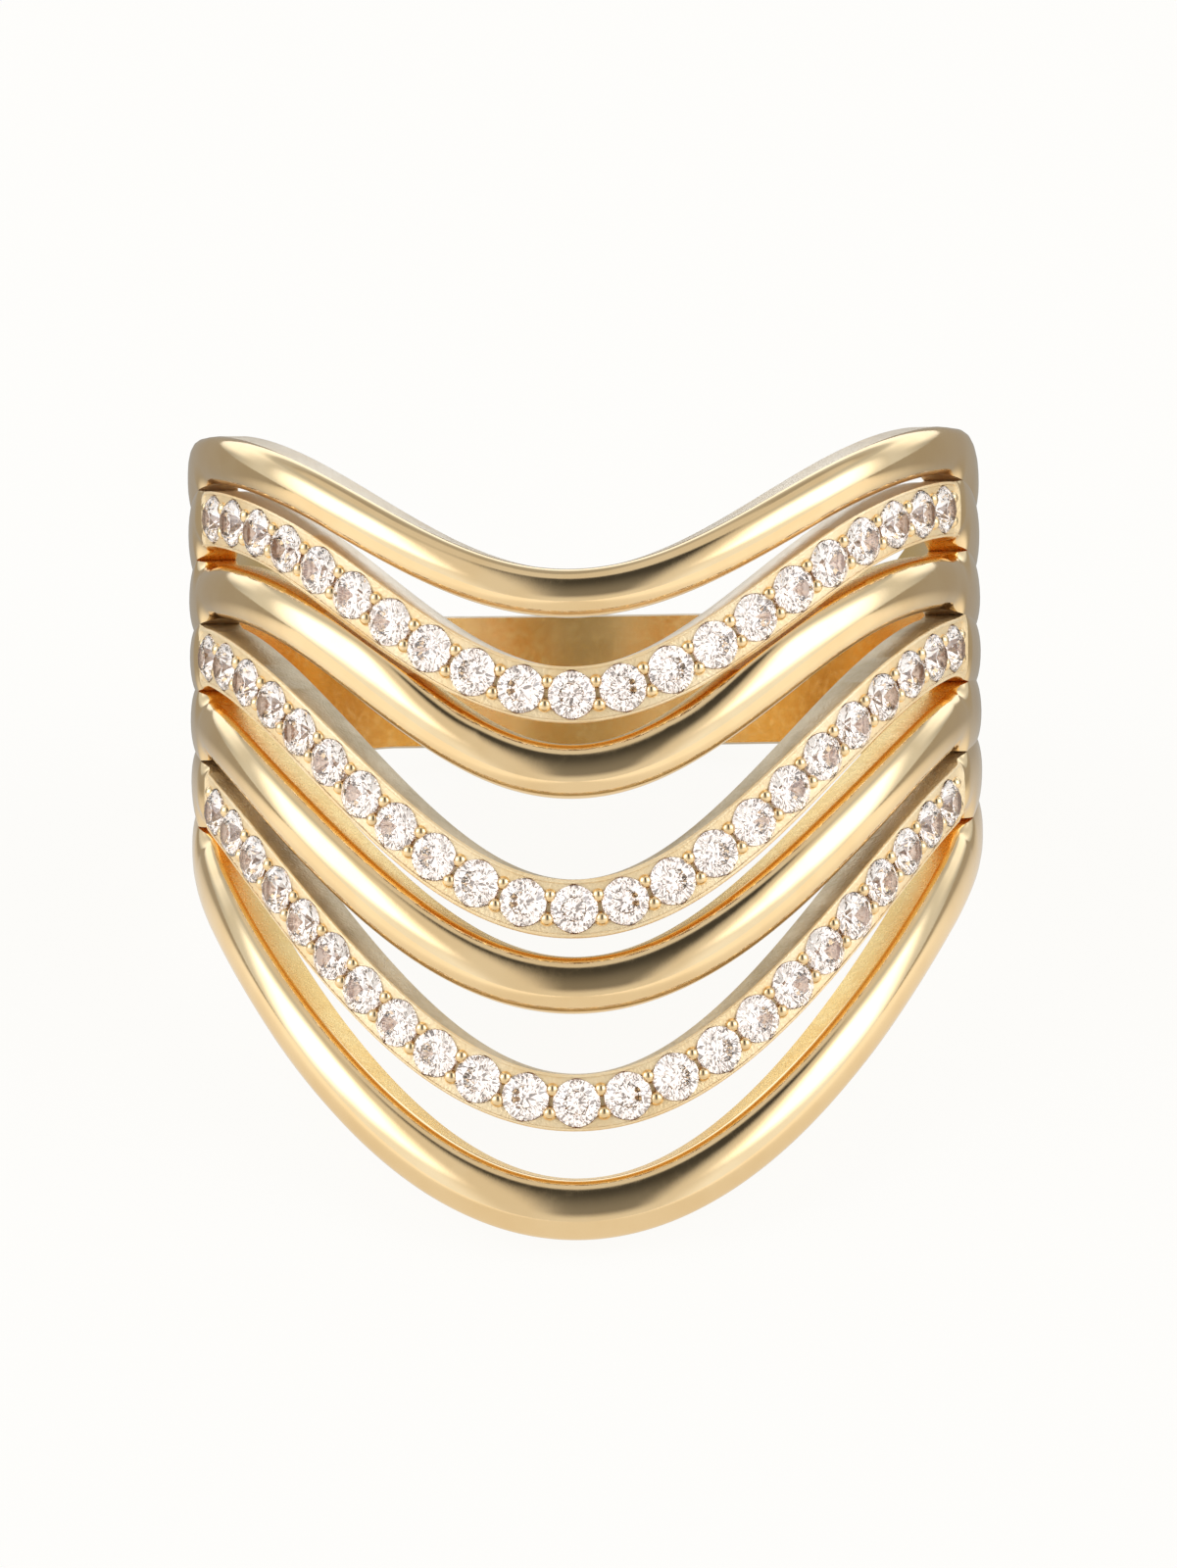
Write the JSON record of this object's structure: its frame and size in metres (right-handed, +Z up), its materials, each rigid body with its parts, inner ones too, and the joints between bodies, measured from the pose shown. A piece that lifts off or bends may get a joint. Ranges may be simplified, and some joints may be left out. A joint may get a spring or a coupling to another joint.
{
  "type": "cubic zirconia ring",
  "caption": "Wide openwork finger ring of wavy V-shaped bands, plain domed ones alternating with channels of round stones, drawn together into a plain shank.",
  "frame": {"origin": "centre of the resting ring's box, on the surface that it lies on", "axes": "+Z up; -Y towards the front of the ring, where the bands dip, as the ring lies on its front tip and the lower edge of its shank; +X to the right seen from the front"},
  "size_m": [0.0204, 0.0252, 0.0152],
  "materials": {
    "gold": "polished gold plating",
    "stone": "clear faceted cubic zirconia"
  },
  "bodies": {
    "root": {"ring_metal": "gold", "stones_upper": "stone", "stones_middle": "stone", "stones_lower": "stone"}
  },
  "joints": []
}
